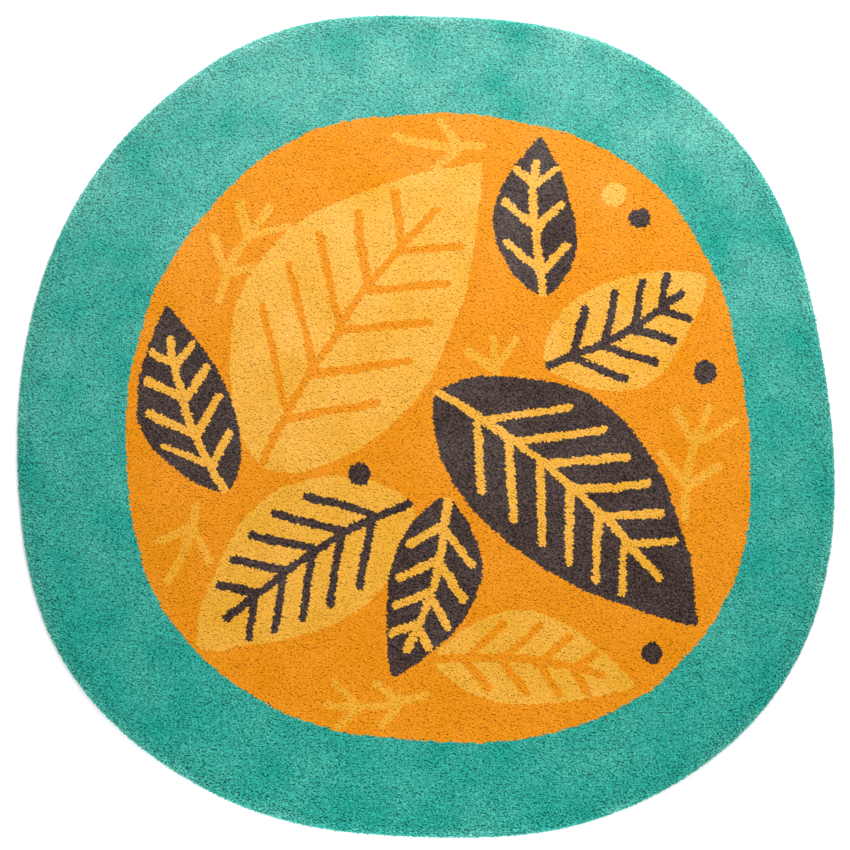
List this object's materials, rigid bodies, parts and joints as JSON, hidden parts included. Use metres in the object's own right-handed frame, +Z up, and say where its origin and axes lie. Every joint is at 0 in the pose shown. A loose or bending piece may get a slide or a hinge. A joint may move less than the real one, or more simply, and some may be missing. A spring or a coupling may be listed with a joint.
{
  "type": "tufted rug",
  "caption": "Flat tufted rug with a dense cut pile and a rounded, uneven outline, for a play room or bedroom floor. It only lies on its flat back.",
  "frame": {"origin": "on the floor under the middle of the rug's outline box", "axes": "+Z up through the thickness, out of the pile; +X to the right and +Y away, as the rug is seen from above with its broad end towards the viewer"},
  "size_m": [1.0966, 1.103, 0.014],
  "materials": {
    "teal_yarn": "matte cut pile",
    "orange_yarn": "matte cut pile",
    "pale_orange_yarn": "matte cut pile",
    "yellow_yarn": "matte cut pile",
    "charcoal_yarn": "matte cut pile",
    "backing_cloth": "matte woven cloth with glue"
  },
  "bodies": {
    "root": {"rug": "teal_yarn"}
  },
  "joints": []
}
